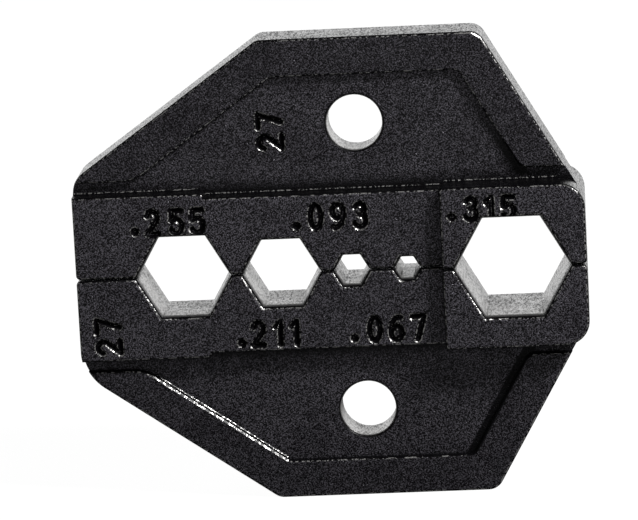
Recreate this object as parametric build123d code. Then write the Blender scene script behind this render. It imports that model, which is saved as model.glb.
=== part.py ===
"""Crimp die insert: a matched pair of hexagonal crimp dies, shown closed.

Each half is one hard steel piece.  A thin tab with a raised rim and one screw hole goes
into the jaw of a hand tool, and a thick band along the parting face carries five
half-hexagon nests.  Two halves that mirror each other close on a ferrule.

Millimetres.  +X runs along the parting line, +Z is the way the upper half opens, and the
nests run along Y.  The origin is the middle of the closed pair, on the parting plane.
Each half is drawn up from its own parting face at z = 0, then moved out by half the gap.
"""
from build123d import *
import math
import os

INCH = 25.4

# The pair, and the way it opens
pair_width = 41.5
half_height = 18.9
parting_gap = 0.1

# Nests: hexagons across the flats, with corners on the parting line
nest_255 = 0.255 * INCH
nest_211 = 0.211 * INCH
nest_093 = 0.093 * INCH
nest_067 = 0.067 * INCH
nest_315 = 0.315 * INCH
nest_255_from_left = 8.75
nest_211_from_left = 16.75
nest_093_from_left = 22.45
nest_067_from_left = 26.95
nest_315_from_right = 6.0
nest_mouth_radius = 0.35
nest_corner_radius = 0.2

# Crimping band: a plain middle, a slightly taller left end and a thick right end
band_thickness = 7.0
band_height = 6.35
left_length = 10.75
left_height = 6.75
heavy_length = 11.7
heavy_thickness = 9.6
heavy_height = 6.6
heavy_corner_radius = 2.0
step_radius = 0.35
parting_end_radius = 0.35

# Tab: a sloped plate that stands on the band
web_thickness = 3.7
left_edge_above_band = 1.25
left_slope = 35.0
right_slope = 60.0
right_foot_from_right = 0.93
tip_corner_radius = 1.3
upper_corner_radius = 2.2
lower_corner_radius = 4.0

# Raised rim round the tab, both sides, which fits the slot in the jaw
rim_thickness = 5.0
rim_width = 3.1
rim_end_gap = 1.0
rim_left_end_radius = 3.5
rim_right_end_radius = 1.1
rim_inner_radius = 0.8

# Screw hole through the tab
screw_hole_diameter = 4.5
screw_from_left = 23.15
screw_from_tip = 7.1

# Broken edges and filled corners of the finished steel
edge_radius = 0.25
foot_radius = 0.25
screw_chamfer = 0.2

left_end = -pair_width / 2
right_end = pair_width / 2
left_step = left_end + left_length
heavy_step = right_end - heavy_length
right_foot = right_end - right_foot_from_right
left_edge_height = left_height + left_edge_above_band
left_rad = math.radians(left_slope)
right_rad = math.radians(right_slope)
beyond = 1.0
TOLERANCE = 0.001


def rounded_face(corners):
    """Flat face in the XZ plane through corners given as (x, z, radius)."""
    outline = Polyline(*[(x, z) for x, z, _ in corners], close=True)
    face = Plane.XZ * make_face(outline)
    for x, z, radius in corners:
        if radius > 0:
            corner = face.vertices().sort_by_distance(Vector(x, 0, z))[0]
            face = fillet(corner, radius)
    return face


def through(face, thickness):
    """Solid of the given thickness, half of it on each side of the mid-plane."""
    return extrude(face, amount=thickness / 2, both=True)


def left_slope_x(z):
    """Where the tab's left-hand slope stands at height z."""
    return left_end + (z - left_edge_height) / math.tan(left_rad)


def right_slope_x(z):
    """Where the tab's right-hand slope stands at height z; its foot is at the band's shoulder."""
    return right_foot + (heavy_height - z) / math.tan(right_rad)


def tab_face(corner_radius):
    """Outline of the tab, down to the parting plane inside the band."""
    slope_foot = heavy_height - heavy_corner_radius / 2
    return rounded_face([
        (left_end, 0, parting_end_radius),
        (left_end, left_edge_height, corner_radius),
        (left_slope_x(half_height), half_height, tip_corner_radius),
        (right_slope_x(half_height), half_height, tip_corner_radius),
        (right_slope_x(slope_foot), slope_foot, 0),
        (right_slope_x(slope_foot), 0, 0),
    ])


def pocket_face():
    """All of the tab that isn't rim: the pocket, and the gaps between the rim and the band."""
    left_rim_end = left_height + rim_end_gap
    right_rim_end = heavy_height + rim_end_gap
    inner_tip = half_height - rim_width

    def left_inner_x(z):
        return left_slope_x(z) + rim_width / math.sin(left_rad)

    def right_inner_x(z):
        return right_slope_x(z) - rim_width / math.sin(right_rad)

    return rounded_face([
        (left_end - beyond, -beyond, 0),
        (left_end - beyond, left_rim_end, 0),
        (left_inner_x(left_rim_end), left_rim_end, rim_left_end_radius),
        (left_inner_x(inner_tip), inner_tip, rim_inner_radius),
        (right_inner_x(inner_tip), inner_tip, rim_inner_radius),
        (right_inner_x(right_rim_end), right_rim_end, rim_right_end_radius),
        (right_end + beyond, right_rim_end, 0),
        (right_end + beyond, -beyond, 0),
    ])


def left_face(tab):
    """The left end of the band, cut to the tab's rounded corner."""
    return tab & rounded_face([
        (left_end, 0, 0),
        (left_end, left_height, 0),
        (left_step, left_height, step_radius),
        (left_step, 0, 0),
    ])


def middle_face():
    """The middle of the band; its ends are inside the two other sections."""
    return rounded_face([
        (left_step - beyond, 0, 0),
        (left_step - beyond, band_height, 0),
        (heavy_step + beyond, band_height, 0),
        (heavy_step + beyond, 0, 0),
    ])


def heavy_face():
    """The thick right end of the band, with the largest nest."""
    return rounded_face([
        (heavy_step, 0, 0),
        (heavy_step, heavy_height, step_radius),
        (right_end, heavy_height, heavy_corner_radius),
        (right_end, 0, parting_end_radius),
    ])


def rounded_plate(face, thickness):
    """Plate with the edges of both its faces rounded."""
    plate = through(face, thickness)
    rims = [
        edge for edge in plate.edges()
        if abs(abs(edge.center().Y) - thickness / 2) < TOLERANCE
    ]
    return fillet(rims, edge_radius)


def rim(tab):
    """Raised rim: the tab's rounded outline, less the pocket, whose edges are rounded too."""
    frame = rounded_face([
        (left_end - beyond / 2, 0, 0),
        (left_end - beyond / 2, half_height + beyond / 2, 0),
        (right_end + beyond / 2, half_height + beyond / 2, 0),
        (right_end + beyond / 2, 0, 0),
    ])
    return rounded_plate(tab, rim_thickness) & rounded_plate(frame - pocket_face(), rim_thickness)


def foot_cove(start, end, height, side):
    """Hollow foot fillet where the band's shoulder meets the web, on one side of it."""
    corner = Rectangle(foot_radius, foot_radius, align=(Align.MIN, Align.MIN))
    section = corner - Pos(foot_radius, foot_radius) * Circle(foot_radius)
    cove = extrude(Plane.YZ * section, amount=end - start)
    cove = Pos(start, web_thickness / 2, height) * cove
    return cove if side > 0 else mirror(cove, about=Plane.XZ)


def nests():
    """Centre on the parting line and size across the flats of each nest."""
    return [
        (left_end + nest_255_from_left, nest_255),
        (left_end + nest_211_from_left, nest_211),
        (left_end + nest_093_from_left, nest_093),
        (left_end + nest_067_from_left, nest_067),
        (right_end - nest_315_from_right, nest_315),
    ]


def nest_cutter(centre, across_flats):
    """Half of a hexagonal bar along Y, less half the parting gap, with rounded mouths."""
    corner = across_flats / math.sqrt(3)
    depth = (across_flats - parting_gap) / 2
    mouth = corner / 2 + depth / math.sqrt(3)
    steel = rounded_face([
        (centre + mouth, 0, nest_mouth_radius),
        (centre + corner / 2, depth, nest_corner_radius),
        (centre - corner / 2, depth, nest_corner_radius),
        (centre - mouth, 0, nest_mouth_radius),
        (centre - corner - beyond, 0, 0),
        (centre - corner - beyond, across_flats, 0),
        (centre + corner + beyond, across_flats, 0),
        (centre + corner + beyond, 0, 0),
    ])
    block = rounded_face([
        (centre - corner - beyond, 0, 0),
        (centre - corner - beyond, across_flats, 0),
        (centre + corner + beyond, across_flats, 0),
        (centre + corner + beyond, 0, 0),
    ])
    return through(block - steel, heavy_thickness + 2 * beyond)


def screw_hole_cutter():
    """The screw hole through the web, with both its edges broken."""
    radius = screw_hole_diameter / 2
    place = Plane.XZ * Pos(left_end + screw_from_left, half_height - screw_from_tip)
    cutter = place * Cylinder(radius, rim_thickness + 2 * beyond)
    for side in (-1, 1):
        flare = Cone(radius, radius + 2 * screw_chamfer, 2 * screw_chamfer)
        if side < 0:
            flare = Rot(180, 0, 0) * flare
        cutter += place * Pos(0, 0, side * web_thickness / 2) * flare
    return cutter


def die_half(corner_radius):
    """Upper half of the pair, from its parting face up; the lower half is its mirror image."""
    tab = tab_face(corner_radius)
    half = through(tab, web_thickness)
    half += rim(tab)
    half += rounded_plate(left_face(tab), band_thickness)
    half += rounded_plate(middle_face(), band_thickness)
    half += rounded_plate(heavy_face(), heavy_thickness)
    for side in (-1, 1):
        left_cove = foot_cove(left_end, left_step - step_radius, left_height, side)
        half += left_cove & through(tab, band_thickness)
        half += foot_cove(left_step, heavy_step, band_height, side)
        half += foot_cove(heavy_step + step_radius, right_end - heavy_corner_radius, heavy_height, side)
    for centre, across_flats in nests():
        half -= nest_cutter(centre, across_flats)
    return half - screw_hole_cutter()


def main():
    os.makedirs("parts", exist_ok=True)
    closed = Pos(0, 0, parting_gap / 2)
    upper = closed * die_half(upper_corner_radius)
    lower = mirror(closed * die_half(lower_corner_radius), about=Plane.XY)
    export_step(upper, "parts/upper_die_half.step")
    export_step(lower, "parts/lower_die_half.step")


main()
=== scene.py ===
"""Crimp die insert: the two halves of a hexagonal crimp die, closed, on a pale floor.

Blender 4.5, metres.  +X runs along the parting line, +Z is up and the nests run along Y.
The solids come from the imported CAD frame; what is sunk, worn or blackened is added here.
"""
import math
import bpy
import numpy as np
from mathutils import Matrix, Vector


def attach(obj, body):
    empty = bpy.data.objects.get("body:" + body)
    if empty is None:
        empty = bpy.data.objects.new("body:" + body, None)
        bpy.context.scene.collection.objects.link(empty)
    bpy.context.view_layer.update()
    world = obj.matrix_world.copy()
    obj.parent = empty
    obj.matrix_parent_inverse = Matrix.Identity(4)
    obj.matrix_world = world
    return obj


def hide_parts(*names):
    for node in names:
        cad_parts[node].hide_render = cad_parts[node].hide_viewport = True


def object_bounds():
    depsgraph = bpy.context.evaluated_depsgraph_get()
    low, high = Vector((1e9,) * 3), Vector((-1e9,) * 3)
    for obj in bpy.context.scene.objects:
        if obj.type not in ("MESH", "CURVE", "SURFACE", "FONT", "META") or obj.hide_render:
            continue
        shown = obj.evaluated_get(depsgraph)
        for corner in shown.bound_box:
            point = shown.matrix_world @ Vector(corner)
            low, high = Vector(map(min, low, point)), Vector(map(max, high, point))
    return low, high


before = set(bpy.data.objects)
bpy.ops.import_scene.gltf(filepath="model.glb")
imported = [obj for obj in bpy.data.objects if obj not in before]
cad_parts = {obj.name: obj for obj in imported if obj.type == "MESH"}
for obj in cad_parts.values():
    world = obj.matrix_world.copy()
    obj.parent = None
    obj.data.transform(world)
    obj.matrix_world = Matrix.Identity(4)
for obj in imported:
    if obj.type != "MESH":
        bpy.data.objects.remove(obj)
cad_low, cad_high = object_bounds()

# Steel of both halves
# Hardened steel, cast with a fine sandy skin and blackened all over.  Handling has thinned the
# black on open faces and rubbed the raised edges, and the top right corner is worn bare.
# Painted shade keeps the full black on the band's shoulders, the web by the band and by the
# rim's right foot, and the seam.  The screw holes and the nests' walls have lost some black.
MM = 0.001
# Millimetres from the middle plane out to the faces of the web, the rim and the band
WEB_FACE = 1.85
RIM_FACE = 2.5
BAND_FACE = 3.5
RIGHT_SLOPE = math.radians(60)
# Where the slope of a surface passes from an edge to a flat face, as the Y of its normal
FLAT_FACE = (0.9, 0.985)


def add_node(tree, kind, values=None, **settings):
    """A node with its settings, whose inputs are fed by sockets or set to plain values."""
    made = tree.nodes.new(kind)
    for name, value in settings.items():
        setattr(made, name, value)
    for name, value in (values or {}).items():
        if isinstance(value, bpy.types.NodeSocket):
            tree.links.new(value, made.inputs[name])
        else:
            made.inputs[name].default_value = value
    return made


def add_math(tree, operation, first, second=None):
    """A Math node fed by sockets or plain numbers; gives its output socket."""
    values = {0: first} if second is None else {0: first, 1: second}
    return add_node(tree, "ShaderNodeMath", values, operation=operation).outputs[0]


def add_product(tree, first, *others):
    """Product of sockets and plain numbers."""
    product = first
    for other in others:
        product = add_math(tree, "MULTIPLY", product, other)
    return product


def add_rest(tree, mask):
    """What a mask leaves: one less the mask."""
    return add_math(tree, "SUBTRACT", 1.0, mask)


def add_ramp(tree, value, low, high, to_low=0.0, to_high=1.0):
    """Smooth step of a socket from one range to another."""
    return add_node(tree, "ShaderNodeMapRange", {
        "Value": value, "From Min": low, "From Max": high, "To Min": to_low, "To Max": to_high,
    }, interpolation_type="SMOOTHSTEP").outputs["Result"]


def add_noise(tree, vector, grain_mm, detail, roughness=0.55):
    """Noise with grains of about the given size in millimetres."""
    return add_node(tree, "ShaderNodeTexNoise", {
        "Vector": vector, "Scale": 1 / (grain_mm * MM), "Detail": detail, "Roughness": roughness,
    }).outputs["Fac"]


def add_axes(tree, vector):
    """The X, Y and Z of a vector, as output sockets."""
    return add_node(tree, "ShaderNodeSeparateXYZ", {0: vector}).outputs


def add_distance(tree, vector, point):
    """How far a vector lies from a point."""
    apart = add_node(tree, "ShaderNodeVectorMath", {0: vector, 1: point}, operation="DISTANCE")
    return apart.outputs["Value"]


def add_colour_mix(tree, share, first, second):
    """Mix of two colours, each a socket or a plain colour."""
    values = {"Factor": share, "A": first, "B": second}
    return add_node(tree, "ShaderNodeMix", values, data_type="RGBA").outputs["Result"]


def new_group(name, numbers, results):
    """A group that reads place and normal, and more numbers; gives it and its two ends' sockets."""
    group = bpy.data.node_groups.new(name, "ShaderNodeTree")
    for label in ("Vector", "Normal"):
        group.interface.new_socket(label, in_out="INPUT", socket_type="NodeSocketVector")
    for label in numbers:
        group.interface.new_socket(label, in_out="INPUT", socket_type="NodeSocketFloat")
    for label in results:
        group.interface.new_socket(label, in_out="OUTPUT", socket_type="NodeSocketFloat")
    given = add_node(group, "NodeGroupInput").outputs
    return group, given, add_node(group, "NodeGroupOutput").inputs


def add_effect(tree, group, read, **numbers):
    """A group placed in a material, fed by place, normal and its numbers; gives its outputs."""
    values = {"Vector": read["Object"], "Normal": read["Normal"], **numbers}
    return add_node(tree, "ShaderNodeGroup", values, node_tree=group).outputs


def cast_skin_group():
    """Sandy skin of a fine casting: its height, its grains alone, and a slow mottle of its tone."""
    off_the_axes = (0.6, 0.5, 0.3)
    sand_on_walls, sand_on_flats, wave_height = 0.35, 1.4, 1.2
    fine_share, slow_share = 0.6, 0.4
    group, given, out = new_group("cast_skin", (), ("Height", "Grain", "Mottle"))
    place = add_node(group, "ShaderNodeMapping", {
        "Vector": given["Vector"], "Rotation": off_the_axes,
    }).outputs["Vector"]
    grain = add_noise(group, place, grain_mm=0.11, detail=1.0, roughness=0.6)
    flatness = add_math(group, "ABSOLUTE", add_axes(group, given["Normal"])["Y"])
    coarse = add_ramp(group, flatness, *FLAT_FACE, sand_on_walls, sand_on_flats)
    sand = add_product(group, grain, coarse)
    waves = add_product(group, add_noise(group, place, grain_mm=1.6, detail=2.0), wave_height)
    group.links.new(add_math(group, "ADD", sand, waves), out["Height"])
    group.links.new(grain, out["Grain"])
    fine = add_noise(group, place, grain_mm=0.5, detail=3.0, roughness=0.7)
    slow = add_noise(group, place, grain_mm=4.0, detail=2.0)
    mottle = add_math(
        group, "ADD", add_product(group, fine, fine_share), add_product(group, slow, slow_share))
    group.links.new(mottle, out["Mottle"])
    return group


def rubbed_edge_group():
    """Rounded edges of the flat faces, and the broken specks of them that handling has rubbed."""
    from_wall = 0.7, 0.78
    to_face = 0.86, 0.98
    speck_level = 0.49, 0.6
    group, given, out = new_group("rubbed_edges", (), ("Mask", "Edge"))
    facing = add_math(group, "ABSOLUTE", add_axes(group, given["Normal"])["Y"])
    off_wall = add_ramp(group, facing, *from_wall)
    edge = add_product(group, off_wall, add_ramp(group, facing, *to_face, 1.0, 0.0))
    patches = add_noise(group, given["Vector"], grain_mm=0.24, detail=2.0, roughness=0.7)
    specks = add_ramp(group, patches, *speck_level)
    group.links.new(add_product(group, edge, specks), out["Mask"])
    group.links.new(edge, out["Edge"])
    return group


def painted_corner_shade_group():
    """Painted shade: full black on the band's shoulders, the web by them and by the rim's right foot,
    and the seam.

    Mask is the painted shade, where the black is kept whole.  Hidden is where it keeps off the
    rubbed specks.
    """
    seam_edge = 0.13 * MM, 0.19 * MM
    shoulder_start, shoulder_end = (6.15 * MM, 6.35 * MM), (6.9 * MM, 7.1 * MM)
    web_by_band = 6.5 * MM, 7.9 * MM
    web_to_rim = (RIM_FACE - 0.3) * MM, RIM_FACE * MM
    rim_foot_start, rim_foot_end = (16.75 * MM, 16.9 * MM), (17.7 * MM, 17.8 * MM)
    rim_foot_base, rim_foot_fades = (6.7 * MM, 7.2 * MM), (8.0 * MM, 14.5 * MM)
    level = 0.75, 0.95
    group, given, out = new_group("painted_corner_shade", (), ("Mask", "Hidden"))
    place = add_axes(group, given["Vector"])
    height = add_math(group, "ABSOLUTE", place["Z"])
    out_from_middle = add_math(group, "ABSOLUTE", place["Y"])
    facing_up = add_math(group, "ABSOLUTE", add_axes(group, given["Normal"])["Z"])

    # Painted shade on the web by the band, on the band's shoulders and along the seam
    on_web = add_ramp(group, out_from_middle, *web_to_rim, 1.0, 0.0)
    above_nests = add_ramp(group, height, *shoulder_start)
    near_band = add_ramp(group, height, *web_by_band, 1.0, 0.0)
    by_band = add_product(group, on_web, near_band, above_nests)
    below_rim = add_ramp(group, height, *shoulder_end, 1.0, 0.0)
    shoulder = add_product(group, add_ramp(group, facing_up, *level), below_rim, above_nests)
    seam = add_ramp(group, height, *seam_edge, 1.0, 0.0)

    # Painted shade in a strip of the web along the foot of the rim's right side
    square_to_rim = add_math(
        group, "ADD",
        add_product(group, place["X"], math.sin(RIGHT_SLOPE)),
        add_product(group, height, math.cos(RIGHT_SLOPE)))
    from_foot = add_ramp(group, square_to_rim, *rim_foot_start)
    to_rim_edge = add_ramp(group, square_to_rim, *rim_foot_end, 1.0, 0.0)
    above_band = add_ramp(group, height, *rim_foot_base)
    fading_upwards = add_ramp(group, place["Z"], *rim_foot_fades, 1.0, 0.0)
    right_rim = add_product(group, above_band, to_rim_edge, fading_upwards, from_foot)

    # No rubbed specks where the shade is painted
    no_specks_in_shade = add_math(group, "MAXIMUM", add_math(group, "MAXIMUM", shoulder, seam), right_rim)
    group.links.new(no_specks_in_shade, out["Hidden"])
    # Full black where the shade is painted
    web = add_math(group, "MAXIMUM", by_band, add_product(group, right_rim, on_web))
    black = add_math(group, "MAXIMUM", web, add_math(group, "MAXIMUM", shoulder, seam))
    group.links.new(black, out["Mask"])
    return group


def tone_with_painted_shade_group():
    """How far the black is thinned: grain by grain on flat faces, more on the band and less on the
    rim than on the web, and nowhere under the painted shade.
    """
    web_share, rim_share, band_gain = 0.70, 0.48, 1.75
    grain_level, mottle_level = (0.42, 0.72), (0.35, 0.65)
    least_mottled, most_mottled = 0.6, 1.3
    web_to_rim = (WEB_FACE + 0.05) * MM, (RIM_FACE - 0.1) * MM
    rim_to_band = (RIM_FACE + 0.1) * MM, BAND_FACE * MM
    group, given, out = new_group("tone_with_painted_shade", ("Grain", "Mottle", "Kept"), ("Tone",))
    flatness = add_math(group, "ABSOLUTE", add_axes(group, given["Normal"])["Y"])
    out_from_middle = add_math(group, "ABSOLUTE", add_axes(group, given["Vector"])["Y"])
    sunk = add_ramp(group, out_from_middle, *web_to_rim, web_share, rim_share)
    proud = add_ramp(group, out_from_middle, *rim_to_band, 1.0, band_gain)
    grains = add_ramp(group, given["Grain"], *grain_level)
    mottled = add_ramp(group, given["Mottle"], *mottle_level, least_mottled, most_mottled)
    on_flats = add_ramp(group, flatness, *FLAT_FACE)
    faces = add_product(group, sunk, proud, on_flats)
    open_faces = add_product(group, faces, add_rest(group, given["Kept"]))
    group.links.new(add_product(group, grains, mottled, open_faces), out["Tone"])
    return group


def bare_place_group():
    """What has lost its black: the edge at the top right corner, the screw holes, the nests' walls."""
    worn_corner = Vector((12.3, -2.4, 18.3)) * MM
    worn_reach = 1.5 * MM
    worn_fades_from = 0.6 * worn_reach
    hole_axis = Vector((2.4, 0, 11.85)) * MM
    hole_radius = 2.25 * MM
    hole_edge = 1.01 * hole_radius, 1.03 * hole_radius
    bore_share, nest_share = 0.35, 0.3
    band_top, band_ends = (6.0 * MM, 6.2 * MM), (19.6 * MM, 19.9 * MM)
    upright, sideways = (0.15, 0.4), (0.9, 0.97)
    group, given, out = new_group("bare_places", ("Edge", "Hidden"), ("Mask",))
    place = add_axes(group, given["Vector"])
    facing = add_axes(group, given["Normal"])
    height = add_math(group, "ABSOLUTE", place["Z"])

    from_corner = add_distance(group, given["Vector"], worn_corner)
    near_corner = add_ramp(group, from_corner, worn_fades_from, worn_reach, 1.0, 0.0)
    corner = add_product(group, given["Edge"], near_corner)

    on_front = add_node(group, "ShaderNodeCombineXYZ", {"X": place["X"], "Z": height})
    from_hole = add_distance(group, on_front.outputs["Vector"], hole_axis)
    bored = add_ramp(group, from_hole, *hole_edge, bore_share, 0.0)

    in_band = add_ramp(group, height, *band_top, nest_share, 0.0)
    inside_ends = add_ramp(group, add_math(group, "ABSOLUTE", place["X"]), *band_ends, 1.0, 0.0)
    on_walls = add_ramp(group, add_math(group, "ABSOLUTE", facing["Y"]), *upright, 1.0, 0.0)
    not_on_steps = add_ramp(group, add_math(group, "ABSOLUTE", facing["X"]), *sideways, 1.0, 0.0)
    # No bare walls where the shade is painted
    off_seam = add_rest(group, given["Hidden"])
    crimped = add_product(group, in_band, inside_ends, on_walls, not_on_steps, off_seam)
    all_bare = add_math(group, "ADD", add_math(group, "ADD", corner, bored), crimped)
    group.links.new(all_bare, out["Mask"])
    return group


def dullness_group():
    """Roughness of the skin: dull in slow patches, pitted on the walls and scoured where worn."""
    along_nests = (1, 0.22, 1)
    upright, pit_level, patch_level = (0.15, 0.6), (0.42, 0.68), (0.3, 0.7)
    pit_roughness, least_rough, most_rough, worn_roughness = 0.26, 0.24, 0.33, 0.08
    group, given, out = new_group("dullness", ("Mottle", "Worn"), ("Roughness",))
    flatness = add_math(group, "ABSOLUTE", add_axes(group, given["Normal"])["Y"])
    place = add_node(group, "ShaderNodeMapping", {
        "Vector": given["Vector"], "Scale": along_nests,
    }).outputs["Vector"]
    long_grains = add_noise(group, place, grain_mm=0.14, detail=2.0, roughness=0.7)
    pits = add_ramp(group, long_grains, *pit_level)
    pitted = add_product(group, add_ramp(group, flatness, *upright, pit_roughness, 0.0), pits)
    patches = add_ramp(group, given["Mottle"], *patch_level, least_rough, most_rough)
    scoured = add_product(group, given["Worn"], worn_roughness)
    roughness = add_math(group, "ADD", add_math(group, "ADD", pitted, patches), scoured)
    group.links.new(roughness, out["Roughness"])
    return group


cast_skin = cast_skin_group()
rubbed_edges = rubbed_edge_group()
painted_corner_shade = painted_corner_shade_group()
tone_with_painted_shade = tone_with_painted_shade_group()
bare_places = bare_place_group()
dullness = dullness_group()


def black_steel(name, wear, tone, shine):
    """Blackened cast steel, from the wear of its edges, its tone, the painted shade in its inner corners
    and its shine.
    """
    black = (0.0022, 0.0020, 0.0026, 1)
    thin_black = (0.170, 0.161, 0.186, 1)
    thin_black_metal = 0.8
    bare_steel = (0.55, 0.54, 0.53, 1)
    skin_height = 0.05 * MM
    material = bpy.data.materials.new(name)
    material.use_nodes = True
    tree = material.node_tree
    surface = tree.nodes["Principled BSDF"]
    read = add_node(tree, "ShaderNodeTexCoord").outputs
    skin = add_effect(tree, cast_skin, read)
    rubbed = add_effect(tree, rubbed_edges, read)
    corners = add_effect(tree, painted_corner_shade, read)
    # The painted shade of the inner corners keeps the black whole there
    tone_with_shade = add_effect(
        tree, tone_with_painted_shade, read, Grain=skin["Grain"], Mottle=skin["Mottle"], Kept=corners["Mask"])
    bare = add_effect(tree, bare_places, read, Edge=rubbed["Edge"], Hidden=corners["Hidden"])

    thinned = add_product(tree, tone_with_shade["Tone"], tone)
    # No rubbed specks where the shade is painted
    open_edges = add_product(tree, rubbed["Mask"], add_rest(tree, corners["Hidden"]), wear)
    worn = add_math(tree, "ADD", open_edges, bare["Mask"])
    toned = add_colour_mix(tree, thinned, black, thin_black)
    tree.links.new(add_colour_mix(tree, worn, toned, bare_steel), surface.inputs["Base Color"])
    metal = add_math(tree, "ADD", worn, add_product(tree, thinned, thin_black_metal))
    tree.links.new(metal, surface.inputs["Metallic"])
    dull = add_effect(tree, dullness, read, Mottle=skin["Mottle"], Worn=worn)
    tree.links.new(dull["Roughness"], surface.inputs["Roughness"])
    surface.inputs["Specular IOR Level"].default_value = shine
    surface.inputs["IOR"].default_value = 1.55
    bump = add_node(tree, "ShaderNodeBump", {
        "Height": skin["Height"], "Strength": 1.0, "Distance": skin_height,
    })
    tree.links.new(bump.outputs["Normal"], surface.inputs["Normal"])
    return material


steel = black_steel("blackened_cast_steel", wear=0.85, tone=1.0, shine=0.15)

# Numbers sunk in the halves
# Beside each nest stands its size in inches across the flats, and each half has a plain
# two-figure casting mark, turned on its side.  The strokes were raised on the mould.
# All in millimetres, but for the rounded lip of a stroke, a share of half the stroke's width
STROKE_WIDTH = 0.5
STROKE_DEPTH = 0.38
LIP = 0.5
FIGURE_WIDTH = 0.92
FIGURE_HEIGHT = 1.86
POINT_RADIUS = 0.13
MARK_WIDTH = 1.05
MARK_PITCH = 1.75
GRID_STEP = 0.05
# Steel of the strokes: nearly the whole black, which also paints the shade inside them, and rubbed lips
sunk_steel = black_steel("stroke_black_and_painted_shade", wear=0.9, tone=0.08, shine=0.12)


def arc(centre, reach, start, end, steps=14):
    """Points of an elliptic arc, with its angles in degrees."""
    angles = np.radians(np.linspace(start, end, steps + 1))
    return [(centre[0] + reach[0] * math.cos(a), centre[1] + reach[1] * math.sin(a)) for a in angles]


# The strokes of each figure, in a box one wide and one high
FIGURES = {
    "0": [arc((0.5, 0.5), (0.46, 0.5), 0, 360, 28)],
    "1": [[(0.1, 0.78), (0.55, 1.0), (0.55, 0.0)]],
    "2": [arc((0.5, 0.72), (0.45, 0.28), 165, -25) + [(0.05, 0.0), (1.0, 0.0)]],
    "3": [arc((0.48, 0.76), (0.42, 0.24), 150, -90), arc((0.48, 0.26), (0.5, 0.27), 90, -150)],
    "5": [[(0.95, 1.0), (0.15, 1.0), (0.08, 0.56)] + arc((0.48, 0.32), (0.5, 0.32), 118, -150)],
    "6": [arc((0.5, 0.3), (0.48, 0.3), 0, 360, 28), arc((0.72, 0.32), (0.7, 0.68), 180, 78)],
    "7": [[(0.0, 1.0), (1.0, 1.0), (0.42, 0.0)]],
    "9": [arc((0.5, 0.7), (0.48, 0.3), 0, 360, 28), arc((0.28, 0.68), (0.7, 0.68), 0, -102)],
}


def figure_strokes(text, lefts, foot, width, height):
    """Strokes of a text on a face, in millimetres, from the left of each of its figures."""
    strokes = []
    for figure, left in zip(text, lefts):
        for line in FIGURES[figure]:
            strokes.append([(left + x * width, foot + y * height) for x, y in line])
    return strokes


def turned(strokes, corner):
    """Strokes turned a quarter turn, so that they read upwards from the given corner."""
    return [[(corner[0] - z, corner[1] + x) for x, z in line] for line in strokes]


def distance_to(strokes, points):
    """How far each point lies from the nearest stroke."""
    shortest = 1e-12
    nearest = np.full(len(points), np.inf)
    for line in strokes:
        for start, end in zip(line[:-1], line[1:]):
            a, along = np.array(start), np.array(end) - np.array(start)
            share = np.clip(((points - a) @ along) / max(along @ along, shortest), 0, 1)
            nearest = np.minimum(nearest, np.linalg.norm(points - a - share[:, None] * along, axis=1))
    return nearest


def cutter_slab(strokes, face):
    """A slab on the front face at y = -face, whose inner side dips along the strokes.

    The dip is a V with rounded lips, and beyond them the slab keeps a skim clear of the face.
    """
    skim, lid, margin = 0.03, 0.35, 0.35
    skim_start, skim_run = 0.85, 0.15
    corners = np.array([point for line in strokes for point in line])
    low, high = corners.min(0) - margin, corners.max(0) + margin
    counts = [max(3, round(span / GRID_STEP)) for span in high - low]
    bpy.ops.object.select_all(action="DESELECT")
    bpy.ops.mesh.primitive_grid_add(x_subdivisions=counts[0], y_subdivisions=counts[1], size=1)
    slab = bpy.context.object
    flat = np.array([vertex.co[:2] for vertex in slab.data.vertices])
    points = low + (flat + 0.5) * (high - low)
    reach = distance_to(strokes, points) / (STROKE_WIDTH / 2)
    lip = (np.clip(1 - reach, -LIP, LIP) + LIP) ** 2 / (4 * LIP)
    wall = np.where(reach < 1 - LIP, 1 - reach, lip)
    dip = STROKE_DEPTH * wall - skim * np.clip((reach - skim_start - LIP) / skim_run, 0, 1)
    placed = np.stack([points[:, 0], dip - face, points[:, 1]], axis=1) * MM
    slab.data.vertices.foreach_set("co", placed.ravel())
    bpy.ops.object.mode_set(mode="EDIT")
    bpy.ops.mesh.select_all(action="SELECT")
    bpy.ops.mesh.extrude_region_move(TRANSFORM_OT_translate={"value": (0, -lid * MM, 0)})
    bpy.ops.mesh.select_all(action="SELECT")
    bpy.ops.mesh.normals_make_consistent(inside=False)
    bpy.ops.object.mode_set(mode="OBJECT")
    slab.data.materials.append(sunk_steel)
    return slab


def upright_number(text, lefts, foot, face, point, height=FIGURE_HEIGHT):
    """Cutter of a size number, with its decimal point to the left of it."""
    dot = [arc(point, (POINT_RADIUS, POINT_RADIUS), 0, 360, 8)]
    return cutter_slab(figure_strokes(text, lefts, foot, FIGURE_WIDTH, height) + dot, face)


def turned_mark(corner, face):
    """Cutter of a casting mark that reads upwards; its figures' feet are on the right."""
    strokes = figure_strokes("27", (0.0, MARK_PITCH), 0.0, MARK_WIDTH, FIGURE_HEIGHT)
    return cutter_slab(turned(strokes, corner), face)


# The die halves
# Each is one casting: a band with the half nests, and a tab with its rim and screw hole.  The
# CAD solid is copied and its numbers are sunk.  The mouths of the nests, the top right corner
# and the long edge inside the lower rim are worn down, and that edge has a filled foot.
INCH = 25.4
HEAVY_FACE = 4.8
# How far the worn edge of a nest has widened, and the depth below the face at which it has
NEST_EDGE = ((0.0, 0.7), (0.04, 0.5), (0.11, 0.27), (0.17, 0.14), (0.23, 0.07), (0.33, 0.018), (0.44, 0))
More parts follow.
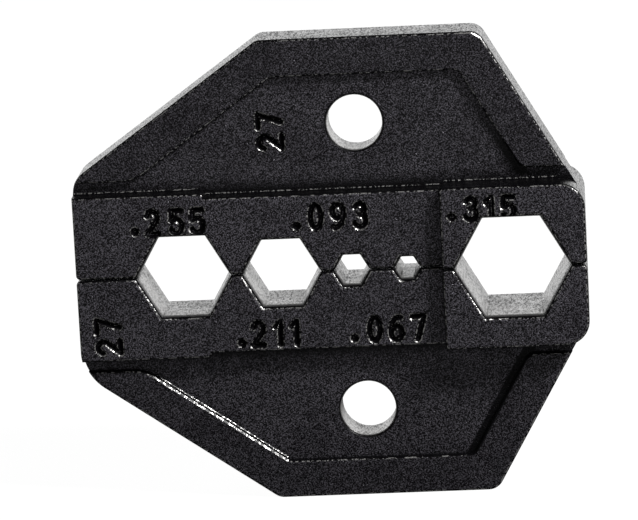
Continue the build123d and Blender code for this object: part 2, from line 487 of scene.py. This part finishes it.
# Centre of each nest, its inches across the flats, and the face it opens through
NESTS = (
    (-12.0, 0.255, BAND_FACE),
    (-4.0, 0.211, BAND_FACE),
    (1.7, 0.093, BAND_FACE),
    (6.2, 0.067, BAND_FACE),
    (14.75, 0.315, HEAVY_FACE),
)
FLAT_TILT = math.radians(37)
TOP_RIGHT_CORNER = ((12.07, 19.02), (13.11, 18.42))
LOWER_RIM_EDGE = ((-14.9, -8.36), (-4.3, -15.79))
LOWER_RIM_FOOT = ((-14.8, -8.43), (-4.41, -15.71))
WELD = 0.0005
SAME_PLANE = math.radians(0.4)
ROUNDED_UP_TO = math.radians(36)


def mouth_flare(centre, across_inches, face, side):
    """Cutter that rounds the edge of a nest at one face: a hexagon that widens in rings."""
    inside, proud = 0.02, 0.2
    flat_reach = across_inches * INCH / 2
    rings = [(flat_reach - inside, NEST_EDGE[0][1] + 2 * inside)]
    rings += [(flat_reach + widening, depth) for widening, depth in NEST_EDGE[1:]]
    rings.append((rings[-1][0], -proud))
    radius = rings[0][0] / math.cos(math.pi / 6) * MM
    bpy.ops.object.select_all(action="DESELECT")
    bpy.ops.mesh.primitive_circle_add(vertices=6, radius=radius, fill_type="NGON")
    flare = bpy.context.object
    bpy.ops.object.mode_set(mode="EDIT")
    bpy.ops.mesh.select_all(action="SELECT")
    for (reach, depth), (next_reach, next_depth) in zip(rings[:-1], rings[1:]):
        rise = (0, 0, (depth - next_depth) * MM)
        bpy.ops.mesh.extrude_region_move(TRANSFORM_OT_translate={"value": rise})
        wider = next_reach / reach
        bpy.ops.transform.resize(value=(wider, wider, 1), center_override=(0, 0, 0))
    bpy.ops.mesh.select_all(action="SELECT")
    bpy.ops.mesh.normals_make_consistent(inside=False)
    bpy.ops.object.mode_set(mode="OBJECT")
    place = Matrix.Translation(Vector((centre, side * (face - rings[0][1]), 0)) * MM)
    corners_on_x = Matrix.Rotation(math.pi / 2, 4, "Z")
    flare.data.transform(place @ Matrix.Rotation(-side * math.pi / 2, 4, "X") @ corners_on_x)
    flare.data.materials.append(steel)
    return flare


def edge_bar(start, end, face, offset, width, thickness):
    """A bar along an edge or an inner corner of the front, to wear it flat or to fill it.

    Seen from the front, the edge's wall faces left of the way from start to end.  The bar's flat
    is tilted between face and wall, and lies offset out from the edge.  A cutter has a positive
    thickness and stands outside the flat; a filler has a negative one and is inside it.
    """
    start, end = Vector((start[0], -face, start[1])), Vector((end[0], -face, end[1]))
    along = (end - start).normalized()
    out = Vector((-along.z, 0, along.x)) * math.sin(FLAT_TILT) + Vector((0, -math.cos(FLAT_TILT), 0))
    centre = (start + end) / 2 + out * (offset + thickness / 2)
    bpy.ops.object.select_all(action="DESELECT")
    bpy.ops.mesh.primitive_cube_add(size=MM)
    bar = bpy.context.object
    turn = Matrix((along, out.cross(along), out)).transposed().to_4x4()
    spans = Matrix.Diagonal(((end - start).length, width, abs(thickness), 1))
    bar.data.transform(Matrix.Translation(centre * MM) @ turn @ spans)
    bar.data.materials.append(steel)
    return bar


def combine(half, tools, operation):
    """Cut tools from a half, or add them to it, in one step, which keeps its mesh closed."""
    bpy.ops.object.select_all(action="DESELECT")
    for tool in tools:
        tool.select_set(True)
    bpy.context.view_layer.objects.active = tools[0]
    bpy.ops.object.join()
    change = half.modifiers.new("combine", "BOOLEAN")
    change.solver = "EXACT"
    change.operation = operation
    change.material_mode = "TRANSFER"
    change.object = tools[0]
    bpy.context.view_layer.objects.active = half
    bpy.ops.object.modifier_apply(modifier=change.name)
    bpy.data.objects.remove(tools[0])


def die_half(name, node, numbers, rubbed, filled=()):
    """A die half from its CAD node, with its numbers sunk and its edges rubbed or filled."""
    half = bpy.data.objects.new(name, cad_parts[node].data.copy())
    bpy.context.scene.collection.objects.link(half)
    bpy.ops.object.select_all(action="DESELECT")
    half.select_set(True)
    bpy.context.view_layer.objects.active = half
    bpy.ops.mesh.customdata_custom_splitnormals_clear()
    bpy.ops.object.mode_set(mode="EDIT")
    bpy.ops.mesh.select_all(action="SELECT")
    bpy.ops.mesh.remove_doubles(threshold=WELD * MM)
    bpy.ops.mesh.dissolve_limited(angle_limit=SAME_PLANE)
    bpy.ops.object.mode_set(mode="OBJECT")
    half.data.materials.clear()
    half.data.materials.append(steel)
    if filled:
        combine(half, list(filled), "UNION")
    combine(half, numbers, "DIFFERENCE")
    flares = [mouth_flare(*nest, side) for nest in NESTS for side in (-1, 1)]
    combine(half, flares + rubbed, "DIFFERENCE")
    bpy.ops.object.select_all(action="DESELECT")
    half.select_set(True)
    bpy.context.view_layer.objects.active = half
    bpy.ops.object.shade_smooth_by_angle(angle=ROUNDED_UP_TO)
    weighted = half.modifiers.new("even shading", "WEIGHTED_NORMAL")
    weighted.keep_sharp = True
    bpy.ops.object.modifier_apply(modifier=weighted.name)
    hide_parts(node)
    return half


upper = die_half("upper_die_half_dressed", "upper_die_half", numbers=[
    upright_number("255", (-14.75, -12.80, -11.10), foot=3.62, face=BAND_FACE, point=(-15.73, 3.88)),
    upright_number("093", (-1.48, 0.32, 2.12), foot=3.58, face=BAND_FACE, point=(-2.57, 3.82)),
    upright_number(
        "315", (11.10, 12.72, 14.10), foot=4.02, face=HEAVY_FACE, point=(10.0, 4.28), height=1.72),
    turned_mark((-3.55, 9.95), WEB_FACE),
], rubbed=[
    edge_bar(*TOP_RIGHT_CORNER, face=RIM_FACE, offset=-0.112, width=1.0, thickness=0.6),
])
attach(upper, "upper_half")

lower = die_half("lower_die_half_dressed", "lower_die_half", numbers=[
    upright_number("211", (-6.62, -4.86, -3.52), foot=-5.90, face=BAND_FACE, point=(-7.52, -5.66)),
    upright_number("067", (2.86, 4.62, 6.42), foot=-5.88, face=BAND_FACE, point=(1.68, -5.62)),
    turned_mark((-17.45, -6.15), BAND_FACE),
], rubbed=[
    edge_bar(*LOWER_RIM_EDGE, face=RIM_FACE, offset=-0.113, width=0.6, thickness=0.5),
], filled=[
    edge_bar(*LOWER_RIM_FOOT, face=WEB_FACE, offset=0.042, width=0.4, thickness=-0.3),
])
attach(lower, "lower_half")

# Floor
# A plain pale table top that runs far out behind the die, so that it fills the picture.
# It keeps the soft shadow.  Polished steel sees it dim in front and white behind, and black
# underfoot, which is a painted shadow seen only in reflections.
FLOOR_REACH = 2.5


def pale_floor(low):
    """The table top at the given height."""
    white = (0.8, 0.8, 0.8, 1)
    shadow_keeper = (0.12, 0.12, 0.12, 1)
    seen_light = 0.97
    front_light, painted_shadow_underfoot, wall_light = 0.4, 0.02, 1.5
    front_edge, back_edge = (-0.06, -0.02), (0.01, 0.10)
    bpy.ops.object.select_all(action="DESELECT")
    bpy.ops.mesh.primitive_plane_add(size=2 * FLOOR_REACH)
    floor = bpy.context.object
    floor.name = "floor"
    floor.data.transform(Matrix.Translation((0, 0, low)))
    material = bpy.data.materials.new("pale_table_top")
    material.use_nodes = True
    tree = material.node_tree
    tree.nodes.clear()
    place = add_axes(tree, add_node(tree, "ShaderNodeTexCoord").outputs["Object"])
    ray = add_node(tree, "ShaderNodeLightPath").outputs
    lit = add_node(tree, "ShaderNodeBsdfDiffuse", {"Color": white}).outputs[0]
    seen = add_node(tree, "ShaderNodeEmission", {"Strength": seen_light}).outputs[0]
    shaded = add_node(tree, "ShaderNodeBsdfDiffuse", {"Color": shadow_keeper}).outputs[0]
    seen_and_shaded = add_node(tree, "ShaderNodeAddShader", {0: shaded, 1: seen}).outputs[0]
    # Dim in front and black near the die's foot, a painted shadow seen only in reflections
    in_front = add_ramp(tree, place["Y"], *front_edge, front_light, painted_shadow_underfoot)
    behind = add_ramp(tree, place["Y"], *back_edge, 0.0, wall_light)
    brightness = add_math(tree, "ADD", in_front, behind)
    mirrored = add_node(tree, "ShaderNodeEmission", {"Strength": brightness}).outputs[0]
    to_room = add_node(tree, "ShaderNodeMixShader", {
        0: ray["Is Glossy Ray"], 1: lit, 2: mirrored,
    }).outputs[0]
    to_all = add_node(tree, "ShaderNodeMixShader", {
        0: ray["Is Camera Ray"], 1: to_room, 2: seen_and_shaded,
    }).outputs[0]
    add_node(tree, "ShaderNodeOutputMaterial", {"Surface": to_all})
    floor.data.materials.append(material)


pale_floor(cad_low.z)

# Light
# A soft box at the upper right front gives the edges their light.  The room has a white wall
# behind the die, which its walls mirror, and is dim overhead and towards the camera.
# The lamp's distance and size are in metres, and its power is in watts
KEY_DIRECTION = Vector((0.58, -0.47, 0.66))
KEY_DISTANCE = 0.45
KEY_SIZE = 0.08
KEY_POWER = 2.1


def soft_box():
    """The square area lamp, turned to face the die."""
    lamp = bpy.data.lights.new("soft_box", "AREA")
    lamp.shape = "SQUARE"
    lamp.size = KEY_SIZE
    lamp.energy = KEY_POWER
    holder = bpy.data.objects.new("soft_box", lamp)
    bpy.context.scene.collection.objects.link(holder)
    holder.location = KEY_DIRECTION.normalized() * KEY_DISTANCE
    holder.rotation_euler = KEY_DIRECTION.to_track_quat("Z", "Y").to_euler()


def pale_room():
    """The world: white to the camera, and to the lit surfaces dim in front and white behind."""
    wall_light, front_light, overhead_light = 2.5, 0.35, 0.03
    wall_edge, wall_top, front_top = (-0.1, 0.6), (0.28, 0.55), (0.1, 0.45)
    world = bpy.data.worlds.new("pale_room")
    bpy.context.scene.world = world
    world.use_nodes = True
    tree = world.node_tree
    tree.nodes.clear()
    towards = add_axes(tree, add_node(tree, "ShaderNodeTexCoord").outputs["Generated"])
    ray = add_node(tree, "ShaderNodeLightPath").outputs
    behind = add_ramp(tree, towards["Y"], *wall_edge, 0.0, wall_light)
    low = add_ramp(tree, towards["Z"], *wall_top, 1.0, 0.0)
    dim = add_ramp(tree, towards["Z"], *front_top, front_light, overhead_light)
    brightness = add_math(tree, "ADD", add_product(tree, behind, low), dim)
    room = add_node(tree, "ShaderNodeBackground", {"Strength": brightness}).outputs[0]
    seen = add_node(tree, "ShaderNodeBackground", {"Strength": 1.0}).outputs[0]
    choice = add_node(tree, "ShaderNodeMixShader", {
        0: ray["Is Camera Ray"], 1: room, 2: seen,
    }).outputs[0]
    add_node(tree, "ShaderNodeOutputWorld", {"Surface": choice})


soft_box()
pale_room()

# Camera
# It stands a little to the right and above, as in the photograph, which is tilted slightly.
# Its place and lens were fitted to the corners of the nests and of the outline.
AZIMUTH = math.radians(3.526)
ELEVATION = math.radians(11.026)
ROLL = math.radians(-2.967)
DISTANCE = 0.3855
LENS = 266.3
SENSOR_WIDTH = 36
TARGET = Vector((-1.131, 0, 0.282)) * MM


def photo_camera():
    """The camera, from its angles round the die."""
    flat = math.cos(ELEVATION)
    back = Vector((math.sin(AZIMUTH) * flat, -math.cos(AZIMUTH) * flat, math.sin(ELEVATION)))
    right = Vector((math.cos(AZIMUTH), math.sin(AZIMUTH), 0))
    up = back.cross(right)
    tilted_right = math.cos(ROLL) * right + math.sin(ROLL) * up
    tilted_up = math.cos(ROLL) * up - math.sin(ROLL) * right
    camera = bpy.data.objects.new("camera", bpy.data.cameras.new("camera"))
    bpy.context.scene.collection.objects.link(camera)
    camera.data.sensor_width = SENSOR_WIDTH
    camera.data.lens = LENS
    camera.data.clip_start = 0.01
    camera.data.clip_end = 10
    turn = Matrix((tilted_right, tilted_up, back)).transposed()
    camera.matrix_world = Matrix.Translation(TARGET + back * DISTANCE) @ turn.to_4x4()
    bpy.context.scene.camera = camera


photo_camera()
bpy.context.scene.view_settings.view_transform = "Standard"
